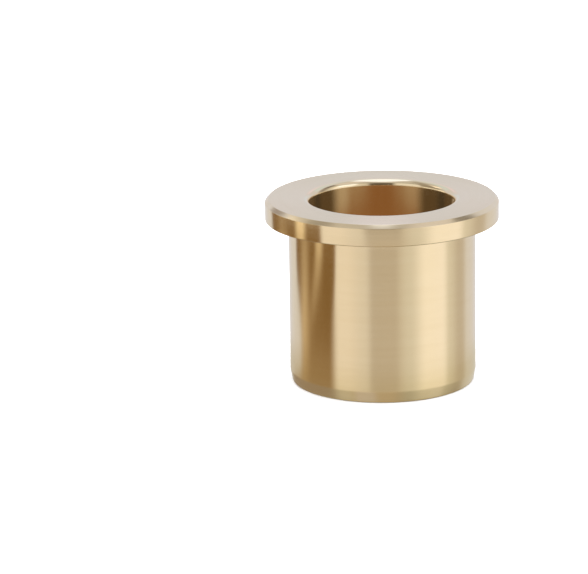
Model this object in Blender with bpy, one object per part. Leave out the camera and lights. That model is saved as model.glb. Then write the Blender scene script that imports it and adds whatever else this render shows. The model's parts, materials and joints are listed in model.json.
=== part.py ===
"""Flanged bronze sleeve bushing, turned from one solid bar.

Units are metres, +Z up. The origin is the centre of the sleeve's free end, and the bore's axis is +Z,
which points towards the flange. The bushing is a body of revolution, so its whole shape is one closed
outline in the (radius, height) half plane, spun once round +Z.
"""

import math

import bmesh
import bpy
from mathutils import Vector

# Driving dimensions
BORE_DIAMETER = 0.040
SLEEVE_DIAMETER = 0.052
FLANGE_DIAMETER = 0.065
FLANGE_THICKNESS = 0.006
OVERALL_LENGTH = 0.052

# Sleeve's free end: a shallow outer taper that starts the press fit, and a chamfer in the bore
LEAD_IN_LENGTH = 0.0032
LEAD_IN_DEPTH = 0.0006
LEAD_IN_BLEND_RADIUS = 0.003
END_EDGE_RADIUS = 0.0004
END_BORE_CHAMFER = 0.0008

# Flange: a 45 degree chamfer on the outer rim, broken lower edge, and a fillet where it meets the sleeve
RIM_CHAMFER = 0.001
RIM_EDGE_RADIUS = 0.0003
SHOULDER_FILLET_RADIUS = 0.0005
BORE_MOUTH_RADIUS = 0.0018
BROKEN_EDGE_RADIUS = 0.00015

# Fineness of the turned surface
SEGMENTS_ROUND = 96
ARC_STEP = math.radians(22.5)
SMOOTH_BELOW = math.radians(30)

BRONZE_COLOUR = (0.78, 0.57, 0.32, 1.0)
BRONZE_ROUGHNESS = 0.24


def clear_scene():
    for old in list(bpy.data.objects):
        bpy.data.objects.remove(old)


def bronze_material():
    material = bpy.data.materials.new("bronze")
    material.use_nodes = True
    shader = material.node_tree.nodes["Principled BSDF"]
    shader.inputs["Base Color"].default_value = BRONZE_COLOUR
    shader.inputs["Metallic"].default_value = 1.0
    shader.inputs["Roughness"].default_value = BRONZE_ROUGHNESS
    return material


def bushing_corners():
    """The outline's sharp corners in order, anticlockwise, each as (radius, height, corner radius)."""
    bore = BORE_DIAMETER / 2
    sleeve = SLEEVE_DIAMETER / 2
    flange = FLANGE_DIAMETER / 2
    top = OVERALL_LENGTH
    shoulder = top - FLANGE_THICKNESS
    return [
        (bore + END_BORE_CHAMFER, 0.0, BROKEN_EDGE_RADIUS),
        (sleeve - LEAD_IN_DEPTH, 0.0, END_EDGE_RADIUS),
        (sleeve, LEAD_IN_LENGTH, LEAD_IN_BLEND_RADIUS),
        (sleeve, shoulder, SHOULDER_FILLET_RADIUS),
        (flange, shoulder, RIM_EDGE_RADIUS),
        (flange, top - RIM_CHAMFER, BROKEN_EDGE_RADIUS),
        (flange - RIM_CHAMFER, top, BROKEN_EDGE_RADIUS),
        (bore, top, BORE_MOUTH_RADIUS),
        (bore, END_BORE_CHAMFER, BROKEN_EDGE_RADIUS),
    ]


def corner_arc(before, corner, after, radius):
    """Points of the arc that rounds a corner, tangent to both of its sides."""
    to_before = (before - corner).normalized()
    to_after = (after - corner).normalized()
    half_angle = to_before.angle(to_after) / 2
    centre = corner + (to_before + to_after).normalized() * (radius / math.sin(half_angle))
    tangent_length = radius / math.tan(half_angle)
    start = corner + to_before * tangent_length - centre
    end = corner + to_after * tangent_length - centre
    turn = math.pi - 2 * half_angle
    steps = max(2, math.ceil(turn / ARC_STEP))
    points = []
    for step in range(steps + 1):
        share = step / steps
        from_start = math.sin((1 - share) * turn)
        from_end = math.sin(share * turn)
        points.append(centre + (start * from_start + end * from_end) / math.sin(turn))
    return points


def rounded_outline(corners):
    outline = []
    count = len(corners)
    for index, (across, up, radius) in enumerate(corners):
        before = Vector(corners[index - 1][:2])
        after = Vector(corners[(index + 1) % count][:2])
        outline += corner_arc(before, Vector((across, up)), after, radius)
    return outline


def turned_mesh(name, outline):
    """A closed mesh made by spinning a closed outline once round +Z."""
    model = bmesh.new()
    ring = [model.verts.new((point.x, 0.0, point.y)) for point in outline]
    edges = [model.edges.new((ring[i - 1], ring[i])) for i in range(len(ring))]
    bmesh.ops.spin(
        model,
        geom=ring + edges,
        cent=(0.0, 0.0, 0.0),
        axis=(0.0, 0.0, 1.0),
        angle=math.tau,
        steps=SEGMENTS_ROUND,
        use_merge=True,
    )
    bmesh.ops.recalc_face_normals(model, faces=model.faces)
    mesh = bpy.data.meshes.new(name)
    model.to_mesh(mesh)
    model.free()
    mesh.shade_smooth()
    mesh.set_sharp_from_angle(angle=SMOOTH_BELOW)
    return mesh


def add_flanged_bushing():
    mesh = turned_mesh("flanged_bushing", rounded_outline(bushing_corners()))
    mesh.materials.append(bronze_material())
    bushing = bpy.data.objects.new("flanged_bushing", mesh)
    bpy.context.scene.collection.objects.link(bushing)
    return bushing


clear_scene()
add_flanged_bushing()
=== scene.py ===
"""Looks of the flanged bronze bushing: fine turned surface, bronze material, studio, floor and camera.

Everything is in metres in the CAD frame: +Z is the bore's axis, and z = 0 is the sleeve's free end.
An azimuth is in degrees round +Z: 0 is -Y, which is the camera's side, and 90 is +X.
"""
import json
import math

import bmesh
import bpy
from mathutils import Matrix, Vector


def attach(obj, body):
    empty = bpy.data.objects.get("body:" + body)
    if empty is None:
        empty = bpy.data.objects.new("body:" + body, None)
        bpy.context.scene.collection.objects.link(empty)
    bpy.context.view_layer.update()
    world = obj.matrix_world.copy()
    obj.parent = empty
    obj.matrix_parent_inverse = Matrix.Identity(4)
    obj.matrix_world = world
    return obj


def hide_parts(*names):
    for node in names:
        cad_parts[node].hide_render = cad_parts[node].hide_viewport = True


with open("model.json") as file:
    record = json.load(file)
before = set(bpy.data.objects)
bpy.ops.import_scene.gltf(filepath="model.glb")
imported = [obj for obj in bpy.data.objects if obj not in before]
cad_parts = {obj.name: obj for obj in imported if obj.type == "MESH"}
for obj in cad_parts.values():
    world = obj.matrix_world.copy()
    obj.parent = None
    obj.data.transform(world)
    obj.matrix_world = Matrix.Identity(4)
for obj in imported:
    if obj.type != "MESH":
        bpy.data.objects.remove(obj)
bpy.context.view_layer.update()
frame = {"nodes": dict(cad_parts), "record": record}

MM = 0.001
NODE = "flanged_bushing"

# Edge details of the turned outline, as in the CAD source
LEAD_IN_LENGTH = 3.2 * MM
LEAD_IN_DEPTH = 0.6 * MM
LEAD_IN_BLEND_RADIUS = 3.0 * MM
END_EDGE_RADIUS = 0.4 * MM
END_BORE_CHAMFER = 0.8 * MM
RIM_CHAMFER = 1.0 * MM
RIM_EDGE_RADIUS = 0.3 * MM
SHOULDER_FILLET_RADIUS = 0.5 * MM
BORE_MOUTH_RADIUS = 1.8 * MM
BROKEN_EDGE_RADIUS = 0.15 * MM

# Fineness of the visible surface
SEGMENTS_ROUND = 360
ARC_STEP = math.radians(7.5)
FEWEST_ARC_STEPS = 3
LONGEST_STRIP = 2.5 * MM
SMOOTH_BELOW = math.radians(30)

# Camera: a long lens, a little above the bushing
CAMERA_DISTANCE = 0.9319
CAMERA_HEIGHT = 0.2824
CAMERA_PITCH = math.radians(15.366)
CAMERA_HEADING = math.radians(-1.518)
CAMERA_ROLL = math.radians(-0.851)
CAMERA_LENS_MM = 211.8
SENSOR_MM = 36.0

# Reflections of reflections inside the bore
GLOSSY_BOUNCES = 8


def mount_height(name):
    for mount in frame["record"]["mounts"]:
        if mount["name"] == name:
            return mount["pos_m"][2]
    raise ValueError("the record has no mount named " + name)


def frame_radii(shoulder):
    """Bore, sleeve and flange radius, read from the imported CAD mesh."""
    points = [vertex.co for vertex in frame["nodes"][NODE].data.vertices]
    radii = [math.hypot(point.x, point.y) for point in points]
    sleeve = [
        radius
        for point, radius in zip(points, radii)
        if point.z < shoulder - SHOULDER_FILLET_RADIUS
    ]
    return min(radii), max(sleeve), max(radii)


def bushing_corners():
    """The outline's sharp corners in order, anticlockwise, each as (radius, height, corner radius)."""
    top = mount_height("thrust_face")
    shoulder = mount_height("flange_shoulder")
    bore, sleeve, flange = frame_radii(shoulder)
    return [
        (bore + END_BORE_CHAMFER, 0.0, BROKEN_EDGE_RADIUS),
        (sleeve - LEAD_IN_DEPTH, 0.0, END_EDGE_RADIUS),
        (sleeve, LEAD_IN_LENGTH, LEAD_IN_BLEND_RADIUS),
        (sleeve, shoulder, SHOULDER_FILLET_RADIUS),
        (flange, shoulder, RIM_EDGE_RADIUS),
        (flange, top - RIM_CHAMFER, BROKEN_EDGE_RADIUS),
        (flange - RIM_CHAMFER, top, BROKEN_EDGE_RADIUS),
        (bore, top, BORE_MOUTH_RADIUS),
        (bore, END_BORE_CHAMFER, BROKEN_EDGE_RADIUS),
    ]


def corner_arc(before, corner, after, radius):
    """Points of the arc that rounds a corner, tangent to both of its sides."""
    to_before = (before - corner).normalized()
    to_after = (after - corner).normalized()
    half_angle = to_before.angle(to_after) / 2
    centre = corner + (to_before + to_after).normalized() * (radius / math.sin(half_angle))
    tangent_length = radius / math.tan(half_angle)
    start = corner + to_before * tangent_length - centre
    end = corner + to_after * tangent_length - centre
    turn = math.pi - 2 * half_angle
    steps = max(FEWEST_ARC_STEPS, math.ceil(turn / ARC_STEP))
    points = []
    for step in range(steps + 1):
        share = step / steps
        from_start = math.sin((1 - share) * turn)
        from_end = math.sin(share * turn)
        points.append(centre + (start * from_start + end * from_end) / math.sin(turn))
    return points


def rounded_outline(corners):
    outline = []
    count = len(corners)
    for index, (across, up, radius) in enumerate(corners):
        before = Vector(corners[index - 1][:2])
        after = Vector(corners[(index + 1) % count][:2])
        outline += corner_arc(before, Vector((across, up)), after, radius)
    return outline


def with_short_strips(outline):
    """The same closed outline with extra points: no strip of it is longer than LONGEST_STRIP."""
    points = []
    for index, point in enumerate(outline):
        step = outline[(index + 1) % len(outline)] - point
        pieces = max(1, math.ceil(step.length / LONGEST_STRIP))
        points += [point + step * (piece / pieces) for piece in range(pieces)]
    return points


def turned_mesh(name, outline):
    """A closed mesh made by spinning a closed outline once round +Z."""
    model = bmesh.new()
    ring = [model.verts.new((point.x, 0.0, point.y)) for point in outline]
    edges = [model.edges.new((ring[i - 1], ring[i])) for i in range(len(ring))]
    bmesh.ops.spin(
        model,
        geom=ring + edges,
        cent=(0.0, 0.0, 0.0),
        axis=(0.0, 0.0, 1.0),
        angle=math.tau,
        steps=SEGMENTS_ROUND,
        use_merge=True,
    )
    bmesh.ops.recalc_face_normals(model, faces=model.faces)
    mesh = bpy.data.meshes.new(name)
    model.to_mesh(mesh)
    model.free()
    mesh.shade_smooth()
    mesh.set_sharp_from_angle(angle=SMOOTH_BELOW)
    return mesh


# Sockets of a Mix node that mixes colours
COLOUR_A = 6
COLOUR_B = 7
COLOUR_OUT = 2


class Nodes:
    """Short calls for building a node tree."""

    def __init__(self, tree):
        self.tree = tree

    def add(self, kind, inputs=None, **settings):
        node = self.tree.nodes.new(kind)
        for name, value in settings.items():
            setattr(node, name, value)
        for key, value in (inputs or {}).items():
            self.plug(value, node.inputs[key])
        return node

    def plug(self, value, socket):
        if isinstance(value, bpy.types.NodeSocket):
            self.tree.links.new(value, socket)
        else:
            socket.default_value = value

    def math(self, operation, *values, clamp=False):
        node = self.add("ShaderNodeMath", operation=operation, use_clamp=clamp)
        for index, value in enumerate(values):
            self.plug(value, node.inputs[index])
        return node.outputs[0]

    def ramp(self, value, low, high, to_low=0.0, to_high=1.0):
        """value from low to high, eased, as to_low to to_high."""
        node = self.add(
            "ShaderNodeMapRange",
            {"Value": value, "From Min": low, "From Max": high, "To Min": to_low, "To Max": to_high},
            interpolation_type="SMOOTHSTEP",
        )
        return node.outputs["Result"]

    def mix(self, factor, first, second):
        node = self.add("ShaderNodeMix", data_type="RGBA")
        self.plug(factor, node.inputs["Factor"])
        self.plug(self.with_alpha(first), node.inputs[COLOUR_A])
        self.plug(self.with_alpha(second), node.inputs[COLOUR_B])
        return node.outputs[COLOUR_OUT]

    @staticmethod
    def with_alpha(colour):
        return (*colour, 1.0) if isinstance(colour, tuple) else colour

    def vector(self, operation, first, second=None, scale=None):
        inputs = {0: first}
        if second is not None:
            inputs[1] = second
        if scale is not None:
            inputs["Scale"] = scale
        return self.add("ShaderNodeVectorMath", inputs, operation=operation)

    def place(self):
        """The shaded point in the object's own frame, as a vector."""
        return self.add("ShaderNodeTexCoord").outputs["Object"]

    def split(self, vector):
        return self.add("ShaderNodeSeparateXYZ", {0: vector}).outputs

    def millimetres(self, length):
        return self.math("DIVIDE", length, MM)

    def azimuth(self, parts):
        """Azimuth of a point in degrees, -180 to 180."""
        turn = self.math("ARCTAN2", parts["X"], self.math("MULTIPLY", parts["Y"], -1.0))
        return self.math("MULTIPLY", turn, math.degrees(1))

    def distance(self, value, middle):
        return self.math("ABSOLUTE", self.math("SUBTRACT", value, middle))

    def output(self, shader):
        out = self.add("ShaderNodeOutputMaterial")
        self.plug(shader.outputs[0], out.inputs["Surface"])


BRONZE_COLOUR = (0.90, 0.73, 0.465)
BRONZE_SHADE = (0.86, 0.68, 0.41)
SHADE_SHARE = 0.3
OUTSIDE_ROUGHNESS = (0.16, 0.185)
MOUTH_ROUGHNESS = 0.09
BORE_ROUGHNESS = 0.12
ANISOTROPY = 0.95
QUARTER_TURN = 0.25
# Noise values between which the shade and the outside roughness go from one end to the other
SHADE_NOISE = (0.35, 0.7)
ROUGHNESS_NOISE = (0.35, 0.65)
# How far out from the bore's radius the looks of the bore and of its mouth fade
BORE_REACH = (0.05 * MM, 0.15 * MM)
MOUTH_REACH = (1.2 * MM, 1.8 * MM)
MARK_HEIGHT = 0.0016 * MM
# Noise along the outline: marks per millimetre, and how much they wander on the way round
FINE_MARKS = (12.0, 0.7)
BROAD_MARKS = (0.55, 1.3)
MARK_NOISE = {"Scale": 1.0, "Detail": 2.0, "Roughness": 0.6}


def streaks(nodes, around, along, marks):
    """Noise drawn out round the axis."""
    tightness, wander = marks
    across = nodes.vector("SCALE", around, scale=wander).outputs[0]
    steps = nodes.math("MULTIPLY", along, tightness / MM)
    up = nodes.add("ShaderNodeCombineXYZ", {"Z": steps}).outputs[0]
    where = nodes.vector("ADD", across, up).outputs[0]
    return nodes.add("ShaderNodeTexNoise", {"Vector": where, **MARK_NOISE}).outputs[0]


def towards(nodes, value, target, share):
    """The value, moved by a share of the way to a target value."""
    whole_way = nodes.math("SUBTRACT", target, value)
    return nodes.math("ADD", value, nodes.math("MULTIPLY", share, whole_way))


def bronze_material(bore):
    """Turned bronze. The circular tool marks spread a reflection across themselves, not along."""
    material = bpy.data.materials.new("turned_bronze")
    material.use_nodes = True
    nodes = Nodes(material.node_tree)
    shader = material.node_tree.nodes["Principled BSDF"]
    parts = nodes.split(nodes.place())
    level = nodes.add("ShaderNodeCombineXYZ", {"X": parts["X"], "Y": parts["Y"]}).outputs[0]
    radius = nodes.vector("LENGTH", level).outputs["Value"]
    around = nodes.vector("NORMALIZE", level).outputs[0]
    # height and radius together change steadily along the walls, the faces and the bore's mouth
    along = nodes.math("ADD", parts["Z"], radius)
    fine = streaks(nodes, around, along, FINE_MARKS)
    broad = streaks(nodes, around, along, BROAD_MARKS)

    in_bore = nodes.ramp(radius, bore + BORE_REACH[0], bore + BORE_REACH[1], 1.0, 0.0)
    in_mouth = nodes.ramp(radius, bore + MOUTH_REACH[0], bore + MOUTH_REACH[1], 1.0, 0.0)
    roughness = nodes.ramp(fine, *ROUGHNESS_NOISE, *OUTSIDE_ROUGHNESS)
    roughness = towards(nodes, roughness, MOUTH_ROUGHNESS, in_mouth)
    roughness = towards(nodes, roughness, BORE_ROUGHNESS, in_bore)
    nodes.plug(roughness, shader.inputs["Roughness"])

    outer = nodes.math("SUBTRACT", 1.0, in_bore)
    shade = nodes.ramp(broad, *SHADE_NOISE, 0.0, SHADE_SHARE)
    shade = nodes.math("MULTIPLY", shade, outer)
    nodes.plug(nodes.mix(shade, BRONZE_COLOUR, BRONZE_SHADE), shader.inputs["Base Color"])
    shader.inputs["Metallic"].default_value = 1.0
    shader.inputs["Anisotropic"].default_value = ANISOTROPY
    shader.inputs["Anisotropic Rotation"].default_value = QUARTER_TURN
    tangent = nodes.add("ShaderNodeTangent", direction_type="RADIAL", axis="Z")
    nodes.plug(tangent.outputs[0], shader.inputs["Tangent"])
    height = nodes.math("MULTIPLY", fine, outer)
    marks = nodes.add("ShaderNodeBump", {"Strength": 1.0, "Distance": MARK_HEIGHT, "Height": height})
    nodes.plug(marks.outputs[0], shader.inputs["Normal"])
    return material


def add_bushing(corners, bore):
    mesh = turned_mesh("bushing_surface", with_short_strips(rounded_outline(corners)))
    mesh.materials.append(bronze_material(bore))
    bushing = bpy.data.objects.new("bushing_surface", mesh)
    bpy.context.scene.collection.objects.link(bushing)
    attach(bushing, "root")
    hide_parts(NODE)


# What the metal mirrors between the panels, at the horizon and well above it, and both elevations
STUDIO_LEVEL = (0.63, 0.60, 0.57)
STUDIO_ABOVE = (0.50, 0.50, 0.52)
STUDIO_RISE = (0, 40)
CAMERA_BACKDROP = (0.97, 0.97, 0.97)
# Everything lower than this is dimmed, as a pale table mirrors it only in part
TABLE_EDGE = (-32, -24)
TABLE_SHARE = (0.645, 0.65, 0.62)

# Each studio panel: azimuth and elevation of its middle, half width and half height, softness of its
# sides and of its top and bottom, all in degrees, and its brightness. Later ones cover earlier ones.
STUDIO_PANELS = [
    ("backdrop", 180, 10, 57, 50, 22, 20, (0.74, 0.79, 0.98)),
    ("backdrop_low", 180, -45, 57, 40, 22, 10, (0.74, 0.76, 0.84)),
    ("backdrop_edge", 180, 1, 32, 7, 14, 8, (0.74, 0.76, 0.84)),
    ("left_gap", -84, 30, 22, 19, 12, 14, (0.36, 0.33, 0.30)),
    ("left_shade", -138, 24, 8, 9, 6, 6, (0.36, 0.34, 0.38)),
    ("left_glint", -112, 40, 8, 11, 6, 6, (1.45, 1.40, 1.35)),
    ("left_far", -92, 2, 26, 8, 10, 6, (1.25, 1.22, 1.16)),
    ("right_gap", 104, 22, 14, 22, 12, 14, (0.34, 0.32, 0.32)),
    ("right_gap_low", 105, -34, 16, 42, 14, 12, (0.60, 0.57, 0.55)),
    ("right_top", 84, 60, 22, 12, 16, 10, (0.74, 0.74, 0.82)),
    ("left_top", -70, 60, 40, 12, 16, 10, (0.605, 0.605, 0.63)),
    ("left_notch", -96, 55, 9, 8, 8, 6, (0.38, 0.37, 0.37)),
    ("right_notch", 114, 43, 7, 8, 6, 6, (0.22, 0.21, 0.21)),
    ("right_wide", 62, -2, 38, 42, 20, 16, (0.77, 0.77, 0.76)),
    ("right_core", 62, -2, 17, 40, 24, 16, (1.07, 1.07, 1.10)),
    ("right_side", 77, -2, 8, 40, 12, 16, (1.07, 1.07, 1.12)),
    ("right_bright", 62, 32, 16, 8, 8, 6, (1.3, 1.45, 1.75)),
    ("left_wide", -41, -5, 25, 40, 9, 16, (0.80, 0.79, 0.78)),
    ("left_core", -50, -5, 16, 40, 22, 16, (0.92, 0.89, 0.88)),
    ("left_bright", -45, 24, 18, 13, 8, 8, (0.88, 0.90, 0.93)),
    ("camera_gap", 0, 17, 19, 21, 10, 10, (0.12, 0.10, 0.08)),
    ("table_front", -8, -42, 24, 16, 24, 8, (0.86, 0.75, 0.66)),
    ("table_cool", -24, -40, 11, 14, 8, 8, (0.95, 0.90, 1.02)),
]


def dot(nodes, direction, axis):
    return nodes.vector("DOT_PRODUCT", direction, axis).outputs["Value"]


def within(nodes, angle, half, softness):
    """1 inside a band round 0, easing to 0 outside it. The angle is in radians, the rest in degrees."""
    inner = math.radians(half - softness / 2)
    outer = math.radians(half + softness / 2)
    return nodes.ramp(nodes.math("ABSOLUTE", angle), inner, outer, 1.0, 0.0)


def studio_panel(nodes, direction, under, panel):
    _, azimuth, height, half_width, half_height, side_softness, end_softness, colour = panel
    azimuth = math.radians(azimuth)
    height = math.radians(height)
    middle = Vector((
        math.sin(azimuth) * math.cos(height),
        -math.cos(azimuth) * math.cos(height),
        math.sin(height),
    ))
    right = Vector((math.cos(azimuth), math.sin(azimuth), 0.0))
    up = middle.cross(right)
    across = nodes.math("ARCTAN2", dot(nodes, direction, right), dot(nodes, direction, middle))
    along = nodes.math("ARCSINE", dot(nodes, direction, up))
    inside = nodes.math(
        "MULTIPLY",
        within(nodes, across, half_width, side_softness),
        within(nodes, along, half_height, end_softness),
    )
    return nodes.mix(inside, under, colour)


def add_studio_light():
    """Soft panels all round for the metal to reflect. The camera itself sees a plain pale backdrop."""
    world = bpy.data.worlds.new("studio")
    bpy.context.scene.world = world
    world.use_nodes = True
    nodes = Nodes(world.node_tree)
    background = world.node_tree.nodes["Background"]
    direction = nodes.add("ShaderNodeTexCoord").outputs["Generated"]
    elevation = nodes.math("ARCSINE", nodes.split(direction)["Z"])
    low, high = STUDIO_RISE
    above = nodes.ramp(elevation, math.radians(low), math.radians(high))
    colour = nodes.mix(above, STUDIO_LEVEL, STUDIO_ABOVE)
    for panel in STUDIO_PANELS:
        colour = studio_panel(nodes, direction, colour, panel)
    low, high = TABLE_EDGE
    lowered = nodes.ramp(elevation, math.radians(low), math.radians(high), 1.0, 0.0)
    dimmed = nodes.vector("MULTIPLY", colour, TABLE_SHARE).outputs[0]
    colour = nodes.mix(lowered, colour, dimmed)
    seen = nodes.add("ShaderNodeLightPath").outputs["Is Camera Ray"]
    shown = nodes.mix(seen, colour, CAMERA_BACKDROP)
    nodes.plug(shown, background.inputs["Color"])


def only_in_reflections(thing):
    thing.visible_camera = False
    thing.visible_diffuse = False
    thing.visible_shadow = False
    thing.visible_transmission = False


def empty_material(name):
    """A material with no nodes yet, and the calls to build them."""
    material = bpy.data.materials.new(name)
    material.use_nodes = True
    material.node_tree.nodes.clear()
    return material, Nodes(material.node_tree)


def glow(material, nodes, colour, solid):
    """Makes the material shine in a colour, seen through where solid is below 1, and gives it back."""
    material.cycles.emission_sampling = "NONE"
    light = nodes.add("ShaderNodeEmission", {"Color": nodes.with_alpha(colour)})
    clear = nodes.add("ShaderNodeBsdfTransparent")
    nodes.output(nodes.add("ShaderNodeMixShader", {0: solid, 1: clear.outputs[0], 2: light.outputs[0]}))
    return material


def stage_piece(name, mesh, material):
    mesh.materials.append(material)
    thing = bpy.data.objects.new(name, mesh)
    bpy.context.scene.collection.objects.link(thing)
    return thing


def curved_wall(name, radius, ends, azimuths, strips):
    """An upright wall on an arc round +Z that faces the axis."""
    first, last = azimuths
    corners = []
    for strip in range(strips + 1):
        angle = math.radians(first + (last - first) * strip / strips)
        corners += [(radius * math.sin(angle), -radius * math.cos(angle), end) for end in ends]
    mesh = bpy.data.meshes.new(name)
    mesh.from_pydata(corners, [], [(low, low + 1, low + 3, low + 2) for low in range(0, 2 * strips, 2)])
    return mesh


# Glowing warm card on the left, which the sleeve and the rim mirror as a brown band with two lighter
# streaks
# It is a painted reflection of a smaller bushing beside this one, with painted shade of the table low
# down
WARM_CARD_RADIUS = 80 * MM
WARM_CARD_ENDS = (-60 * MM, 46 * MM)
WARM_CARD_AZIMUTHS = (-172, -40)
WARM_CARD_STRIPS = 33
WARM_CARD_DARK = (0.235, 0.14, 0.052)
WARM_CARD_GOLD = (0.92, 0.77, 0.54)
WARM_CARD_FOOT_SHADE = (0.37, 0.315, 0.28)
# Each of these eases with the height on the card: two heights in millimetres, and the values there
FIRST_STREAK_LOWER = (-8, 20, 0.0, 0.40)
FIRST_STREAK_UPPER = (25, 34, 0.0, 0.90)
SECOND_STREAK_RISE = (-16, 6, 0.0, 0.5)
SECOND_STREAK_DIP = (8, 22, 1.0, 0.70)
SECOND_STREAK_FADE = (27, 34, 0.0, 0.42)
PALE_EDGE_AZIMUTH = (18, -8, -118, -102)
PALE_EDGE_RISE = (18, 4, 0.0, 1.0)
PALE_EDGE_FADE = (4, -8, 0.0, 0.7)
LOW_LIGHT = (4, -18, 0.0, 0.28)
FOOT_SHADE_RISE = (-16, -26, 0.0, 1.0)
LEFT_SIDE_AZIMUTH = (20, -4, -114.5, -103)
LEFT_SIDE_SPREAD = (-12, -25, 0, 42)
LEFT_SIDE_SOFTNESS = (8, -8, 3, 8)
LEFT_SIDE_VEIL = (0, -20, 0.0, 0.25)
RIGHT_SIDE_AZIMUTH = (24, 8, -50, -53)
RIGHT_SIDE_SPREAD = (-18, -38, 0, 6)
RIGHT_SIDE_SOFTNESS = (16, 5, 2.5, 6.5)
RIGHT_SIDE_BLUR = (-18, -38, 0, 10)
# Azimuths and widths in degrees, and the height below which the first streak leans, in millimetres
FIRST_STREAK_AZIMUTH = -70.8
FIRST_STREAK_HALF = 8.5
FIRST_STREAK_BEND = 26
FIRST_STREAK_LEAN = 0.65
SECOND_STREAK_AZIMUTH = -96
SECOND_STREAK_HALF = 13
PALE_EDGE_WIDTH = 16
PALE_EDGE_SHARE = 0.35


def warm_card_lightness(nodes, height, azimuth):
    """How far the card goes from dark brown, 0, to gold, 1."""

    def streak(middle, half, strength):
        near = nodes.ramp(nodes.distance(azimuth, middle), 0, half, 1.0, 0.0)
        return nodes.math("MULTIPLY", near, strength)

    # a narrow streak, bright at the top, that leans back and fades as it goes down
    drop = nodes.math("MAXIMUM", nodes.math("SUBTRACT", FIRST_STREAK_BEND, height), 0.0)
    lean = nodes.math("MULTIPLY", drop, FIRST_STREAK_LEAN)
    lower = nodes.ramp(height, *FIRST_STREAK_LOWER)
    strength = nodes.math("ADD", lower, nodes.ramp(height, *FIRST_STREAK_UPPER))
    first = streak(nodes.math("SUBTRACT", FIRST_STREAK_AZIMUTH, lean), FIRST_STREAK_HALF, strength)
    # a broad faint one behind it
    dip = nodes.ramp(height, *SECOND_STREAK_DIP)
    dip = nodes.math("SUBTRACT", dip, nodes.ramp(height, *SECOND_STREAK_FADE))
    strength = nodes.math("MULTIPLY", nodes.ramp(height, *SECOND_STREAK_RISE), dip)
    second = streak(SECOND_STREAK_AZIMUTH, SECOND_STREAK_HALF, strength)
    # the back edge is paler lower down
    past_edge = nodes.math("SUBTRACT", azimuth, nodes.ramp(height, *PALE_EDGE_AZIMUTH))
    strength = nodes.ramp(height, *PALE_EDGE_RISE)
    strength = nodes.math("SUBTRACT", strength, nodes.ramp(height, *PALE_EDGE_FADE))
    pale = nodes.ramp(past_edge, PALE_EDGE_WIDTH, 0, 0.0, PALE_EDGE_SHARE)
    pale = nodes.math("MULTIPLY", pale, strength)
    both_streaks = nodes.math("ADD", first, second)
    rest = nodes.math("ADD", pale, nodes.ramp(height, *LOW_LIGHT))
    return nodes.math("ADD", both_streaks, rest, clamp=True)


def warm_card_solid(nodes, height, azimuth):
    """1 on the card, easing to 0 past its sides, which lean and are softer lower down."""

    def past(place, spread, softness):
        """How far past one of its sides, counted in softnesses."""
        side = nodes.math("SUBTRACT", nodes.ramp(height, *place), nodes.ramp(height, *spread))
        return nodes.math("DIVIDE", nodes.math("SUBTRACT", azimuth, side), softness)

    softness = nodes.ramp(height, *LEFT_SIDE_SOFTNESS)
    left = nodes.ramp(past(LEFT_SIDE_AZIMUTH, LEFT_SIDE_SPREAD, softness), -1.0, 1.0)
    left = nodes.math("MAXIMUM", left, nodes.ramp(height, *LEFT_SIDE_VEIL))
    softness = nodes.ramp(height, *RIGHT_SIDE_SOFTNESS)
    softness = nodes.math("ADD", softness, nodes.ramp(height, *RIGHT_SIDE_BLUR))
    right = nodes.ramp(past(RIGHT_SIDE_AZIMUTH, RIGHT_SIDE_SPREAD, softness), 1.0, -1.0)
    return nodes.math("MULTIPLY", left, right)


def warm_card_material():
    material, nodes = empty_material("warm_card")
    parts = nodes.split(nodes.place())
    height = nodes.millimetres(parts["Z"])
    azimuth = nodes.azimuth(parts)
    colour = nodes.mix(warm_card_lightness(nodes, height, azimuth), WARM_CARD_DARK, WARM_CARD_GOLD)
    # painted shade of the table low down on the card
    colour = nodes.mix(nodes.ramp(height, *FOOT_SHADE_RISE), colour, WARM_CARD_FOOT_SHADE)
    return glow(material, nodes, colour, warm_card_solid(nodes, height, azimuth))


def add_warm_card():
    ends, azimuths = WARM_CARD_ENDS, WARM_CARD_AZIMUTHS
    mesh = curved_wall("warm_card", WARM_CARD_RADIUS, ends, azimuths, WARM_CARD_STRIPS)
    only_in_reflections(stage_piece("warm_card", mesh, warm_card_material()))


# Glowing card lining the bore, seen only from inside: the bore mirrors it as a brown front and two gold
# streaks
# It is a painted reflection, with painted highlight streaks and painted shade towards its back
BORE_CARD_GAP = 0.15 * MM
BORE_CARD_ENDS = (1 * MM, 50 * MM)
BORE_CARD_AZIMUTHS = (-180, 180)
BORE_CARD_STRIPS = 96
BORE_CARD_FRONT = (0.261, 0.122, 0.046)
BORE_CARD_SIDE = (0.339, 0.222, 0.124)
BORE_CARD_HIGHLIGHT = (0.45, 0.355, 0.245)
BORE_CARD_SHADE = (0.105, 0.068, 0.034)
BORE_CARD_BACK_SHADE = (0.068, 0.048, 0.028)
# The colours follow each other round the card, in degrees away from its front or from BORE_CARD_MIDDLE
BORE_CARD_MIDDLE = 12
BORE_SIDE_RISE = (12, 64)
BORE_HIGHLIGHT_RISE = (58, 84)
BORE_SHADE_RISE = (90, 126)
BORE_BACK_SHADE_RISE = (150, 180)
# The painted highlight streak on the card's -X side is the fainter one. Both fade lower down, in
# millimetres.
BORE_HIGHLIGHT_SIDES = (-30, 30, 0.4, 1.0)
BORE_FADE = (31.5, 39.5, 0.1, 1.0)


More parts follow.
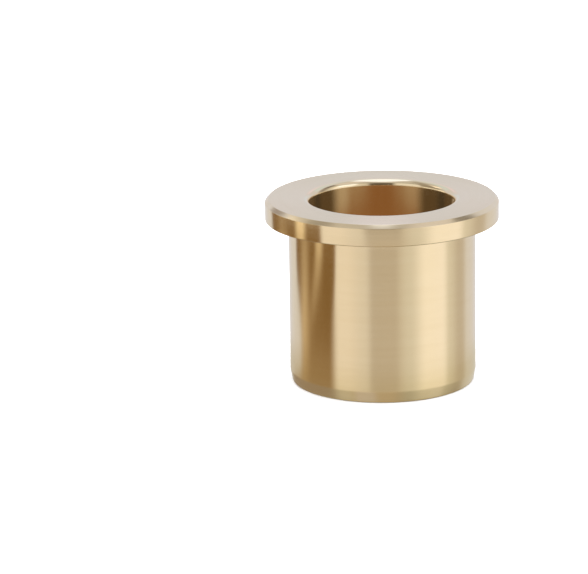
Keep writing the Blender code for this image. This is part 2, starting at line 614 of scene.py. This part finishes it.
def bore_card_material():
    material, nodes = empty_material("bore_card")
    parts = nodes.split(nodes.place())
    azimuth = nodes.azimuth(parts)
    away = nodes.distance(azimuth, BORE_CARD_MIDDLE)
    fade = nodes.ramp(nodes.millimetres(parts["Z"]), *BORE_FADE)
    side = nodes.math("MULTIPLY", nodes.ramp(nodes.math("ABSOLUTE", azimuth), *BORE_SIDE_RISE), fade)
    colour = nodes.mix(side, BORE_CARD_FRONT, BORE_CARD_SIDE)
    # painted gold highlight streaks, fainter lower down
    streak = nodes.math("MULTIPLY", nodes.ramp(away, *BORE_HIGHLIGHT_RISE), fade)
    streak = nodes.math("MULTIPLY", streak, nodes.ramp(azimuth, *BORE_HIGHLIGHT_SIDES))
    colour = nodes.mix(streak, colour, BORE_CARD_HIGHLIGHT)
    # painted shade towards the card's back
    colour = nodes.mix(nodes.ramp(away, *BORE_SHADE_RISE), colour, BORE_CARD_SHADE)
    colour = nodes.mix(nodes.ramp(away, *BORE_BACK_SHADE_RISE), colour, BORE_CARD_BACK_SHADE)
    outside = nodes.add("ShaderNodeNewGeometry").outputs["Backfacing"]
    return glow(material, nodes, colour, nodes.math("SUBTRACT", 1.0, outside))


def add_bore_card(bore):
    radius = bore - BORE_CARD_GAP
    mesh = curved_wall("bore_card", radius, BORE_CARD_ENDS, BORE_CARD_AZIMUTHS, BORE_CARD_STRIPS)
    only_in_reflections(stage_piece("bore_card", mesh, bore_card_material()))


DISC_SEGMENTS = 96


def disc(name, radius, height, material):
    """A flat round stage piece on the bore's axis that faces up."""
    mesh = bpy.data.meshes.new(name)
    model = bmesh.new()
    bmesh.ops.create_circle(model, cap_ends=True, segments=DISC_SEGMENTS, radius=radius)
    model.to_mesh(mesh)
    model.free()
    thing = stage_piece(name, mesh, material)
    thing.location.z = height
    return thing


# Overhead card, close above the bushing: the back of the bore's mouth mirrors it as a bright crescent.
# It shines inside an ellipse of these half widths in X and Y, which ends softly.
OVERHEAD_HEIGHT = 200 * MM
OVERHEAD_RADIUS = 130 * MM
OVERHEAD_SHAPE = (41 * MM, 102.5 * MM)
OVERHEAD_BACK = 31.5 * MM
OVERHEAD_SOFT = (0.82, 1.1)
OVERHEAD_COLOUR = (1.2, 1.36, 1.8)


def overhead_material():
    material, nodes = empty_material("overhead_card")
    parts = nodes.split(nodes.place())
    squares = [
        nodes.math("POWER", nodes.math("DIVIDE", parts[axis], half), 2.0)
        for axis, half in zip("XY", OVERHEAD_SHAPE)
    ]
    from_middle = nodes.math("SQRT", nodes.math("ADD", *squares))
    return glow(material, nodes, OVERHEAD_COLOUR, nodes.ramp(from_middle, *OVERHEAD_SOFT, 1.0, 0.0))


def add_overhead_card():
    card = disc("overhead_card", OVERHEAD_RADIUS, OVERHEAD_HEIGHT, overhead_material())
    card.location.y = OVERHEAD_BACK
    only_in_reflections(card)


# Glowing card behind the bushing, seen only in reflections, which the flat top face mirrors as painted
# light
BACK_CARD_BEHIND = 80 * MM
BACK_CARD_HALF_WIDTH = 75 * MM
BACK_CARD_ENDS = (56 * MM, 140 * MM)
BACK_CARD_EDGE = (0.73, 0.74, 0.84)
BACK_CARD_COOL = (0.70, 0.83, 1.02)
BACK_CARD_WARM = (0.73, 0.745, 0.90)
BACK_CARD_SPOT = (0.88, 0.83, 1.08)
BACK_CARD_SIDES = (0.71, 0.74, 0.88)
# Heights in millimetres between which it goes from edge to cool, cool to warm and warm back to cool
BACK_EDGE_RISE = (61, 66)
BACK_WARM_RISE = (60, 80)
BACK_COOL_RISE = (90, 104)
# In millimetres: how far out the sides take over, and how far out and how high the pale spot lies
BACK_SIDES_RISE = (10, 26, 0.0, 0.7)
BACK_SPOT_REACH = (3, 16, 1.0, 0.0)
BACK_SPOT_RISE = (74, 90)


def back_card_material():
    material, nodes = empty_material("back_card")
    parts = nodes.split(nodes.place())
    height = nodes.millimetres(parts["Z"])
    aside = nodes.millimetres(nodes.math("ABSOLUTE", parts["X"]))
    colour = nodes.mix(nodes.ramp(height, *BACK_WARM_RISE), BACK_CARD_COOL, BACK_CARD_WARM)
    colour = nodes.mix(nodes.ramp(aside, *BACK_SIDES_RISE), colour, BACK_CARD_SIDES)
    spot = nodes.ramp(aside, *BACK_SPOT_REACH)
    spot = nodes.math("MULTIPLY", spot, nodes.ramp(height, *BACK_SPOT_RISE))
    colour = nodes.mix(spot, colour, BACK_CARD_SPOT)
    colour = nodes.mix(nodes.ramp(height, *BACK_COOL_RISE), colour, BACK_CARD_COOL)
    colour = nodes.mix(nodes.ramp(height, *BACK_EDGE_RISE), BACK_CARD_EDGE, colour)
    return glow(material, nodes, colour, 1.0)


def add_back_card():
    low, high = BACK_CARD_ENDS
    left, right = -BACK_CARD_HALF_WIDTH, BACK_CARD_HALF_WIDTH
    outline = [(left, low), (right, low), (right, high), (left, high)]
    mesh = bpy.data.meshes.new("back_card")
    mesh.from_pydata([(x, BACK_CARD_BEHIND, z) for x, z in outline], [], [(0, 1, 2, 3)])
    only_in_reflections(stage_piece("back_card", mesh, back_card_material()))


FLOOR_RADIUS = 5.0
FLOOR_COLOUR = (0.9, 0.9, 0.9)
# The stage's discs lie just under the bushing, clear of each other
UNDER_BUSHING_DROP = 0.01 * MM
FOOT_PAINTED_SHADE_DROP = 0.015 * MM
FLOOR_DROP = 0.02 * MM
# Glowing disc, painted light and shade of the floor inside the bore as the bore mirrors it: painted
# shade darker towards its wall
UNDER_BUSHING_RADIUS = 20.8 * MM
UNDER_BUSHING_OPEN = (0.52, 0.46, 0.38)
UNDER_BUSHING_SHADED = (0.07, 0.06, 0.05)
UNDER_BUSHING_FADE = (6 * MM, 18 * MM)
# Painted shade: close round the foot, a clear disc seen only in reflections darkens and warms the
# mirrored floor
FOOT_PAINTED_SHADE = (0.88, 0.86, 0.75)
FOOT_PAINTED_SHADE_FADE = (38 * MM, 62 * MM)
WHITE = (1.0, 1.0, 1.0)


def from_axis(nodes):
    """Distance from the middle of a disc."""
    return nodes.vector("LENGTH", nodes.place()).outputs["Value"]


def floor_material():
    """Pale, and clear from below, so that the underside can be seen."""
    material, nodes = empty_material("pale_floor")
    pale = nodes.add("ShaderNodeBsdfDiffuse", {"Color": nodes.with_alpha(FLOOR_COLOUR)})
    clear = nodes.add("ShaderNodeBsdfTransparent")
    below = nodes.add("ShaderNodeNewGeometry").outputs["Backfacing"]
    nodes.output(nodes.add("ShaderNodeMixShader", {0: below, 1: pale.outputs[0], 2: clear.outputs[0]}))
    return material


def under_bushing_material():
    material, nodes = empty_material("floor_under_bushing")
    shaded = nodes.ramp(from_axis(nodes), *UNDER_BUSHING_FADE)
    return glow(material, nodes, nodes.mix(shaded, UNDER_BUSHING_OPEN, UNDER_BUSHING_SHADED), 1.0)


def foot_painted_shade_material():
    material, nodes = empty_material("foot_painted_shade")
    painted_shade = nodes.mix(nodes.ramp(from_axis(nodes), *FOOT_PAINTED_SHADE_FADE), FOOT_PAINTED_SHADE, WHITE)
    nodes.output(nodes.add("ShaderNodeBsdfTransparent", {"Color": painted_shade}))
    return material


def add_floor():
    """A pale floor the metal doesn't mirror, and two discs with painted light and shade that only the
    metal mirrors.
    """
    floor = disc("floor", FLOOR_RADIUS, -FLOOR_DROP, floor_material())
    floor.visible_glossy = False
    material = under_bushing_material()
    inside = disc("floor_under_bushing", UNDER_BUSHING_RADIUS, -UNDER_BUSHING_DROP, material)
    only_in_reflections(inside)
    painted_shade = disc("foot_painted_shade", FOOT_PAINTED_SHADE_FADE[1], -FOOT_PAINTED_SHADE_DROP, foot_painted_shade_material())
    only_in_reflections(painted_shade)


FLOOR_LIGHT_SIZE = 1.2
FLOOR_LIGHT_HEIGHT = 1.2
FLOOR_LIGHT_WATTS = 36.0


def add_floor_light():
    lamp = bpy.data.lights.new("floor_light", "AREA")
    lamp.shape = "DISK"
    lamp.size = FLOOR_LIGHT_SIZE
    lamp.energy = FLOOR_LIGHT_WATTS
    light = bpy.data.objects.new("floor_light", lamp)
    light.location.z = FLOOR_LIGHT_HEIGHT
    light.visible_glossy = False
    light.visible_camera = False
    bpy.context.scene.collection.objects.link(light)


def add_camera():
    forward = Vector((
        math.sin(CAMERA_HEADING) * math.cos(CAMERA_PITCH),
        math.cos(CAMERA_HEADING) * math.cos(CAMERA_PITCH),
        -math.sin(CAMERA_PITCH),
    ))
    level = Vector((math.cos(CAMERA_HEADING), -math.sin(CAMERA_HEADING), 0.0))
    upright = level.cross(forward)
    right = level * math.cos(CAMERA_ROLL) + upright * math.sin(CAMERA_ROLL)
    up = upright * math.cos(CAMERA_ROLL) - level * math.sin(CAMERA_ROLL)
    turn = Matrix((right, up, -forward)).transposed()
    data = bpy.data.cameras.new("camera")
    data.sensor_width = SENSOR_MM
    data.lens = CAMERA_LENS_MM
    camera = bpy.data.objects.new("camera", data)
    place = Matrix.Translation((0.0, -CAMERA_DISTANCE, CAMERA_HEIGHT))
    camera.matrix_world = place @ turn.to_4x4()
    bpy.context.scene.collection.objects.link(camera)
    bpy.context.scene.camera = camera


corners = bushing_corners()
bore = min(across for across, _, _ in corners)
bpy.context.scene.view_settings.view_transform = "Standard"
add_camera()
add_bushing(corners, bore)
add_floor()
add_floor_light()
add_warm_card()
add_bore_card(bore)
add_overhead_card()
add_back_card()
add_studio_light()
bpy.context.scene.cycles.glossy_bounces = GLOSSY_BOUNCES
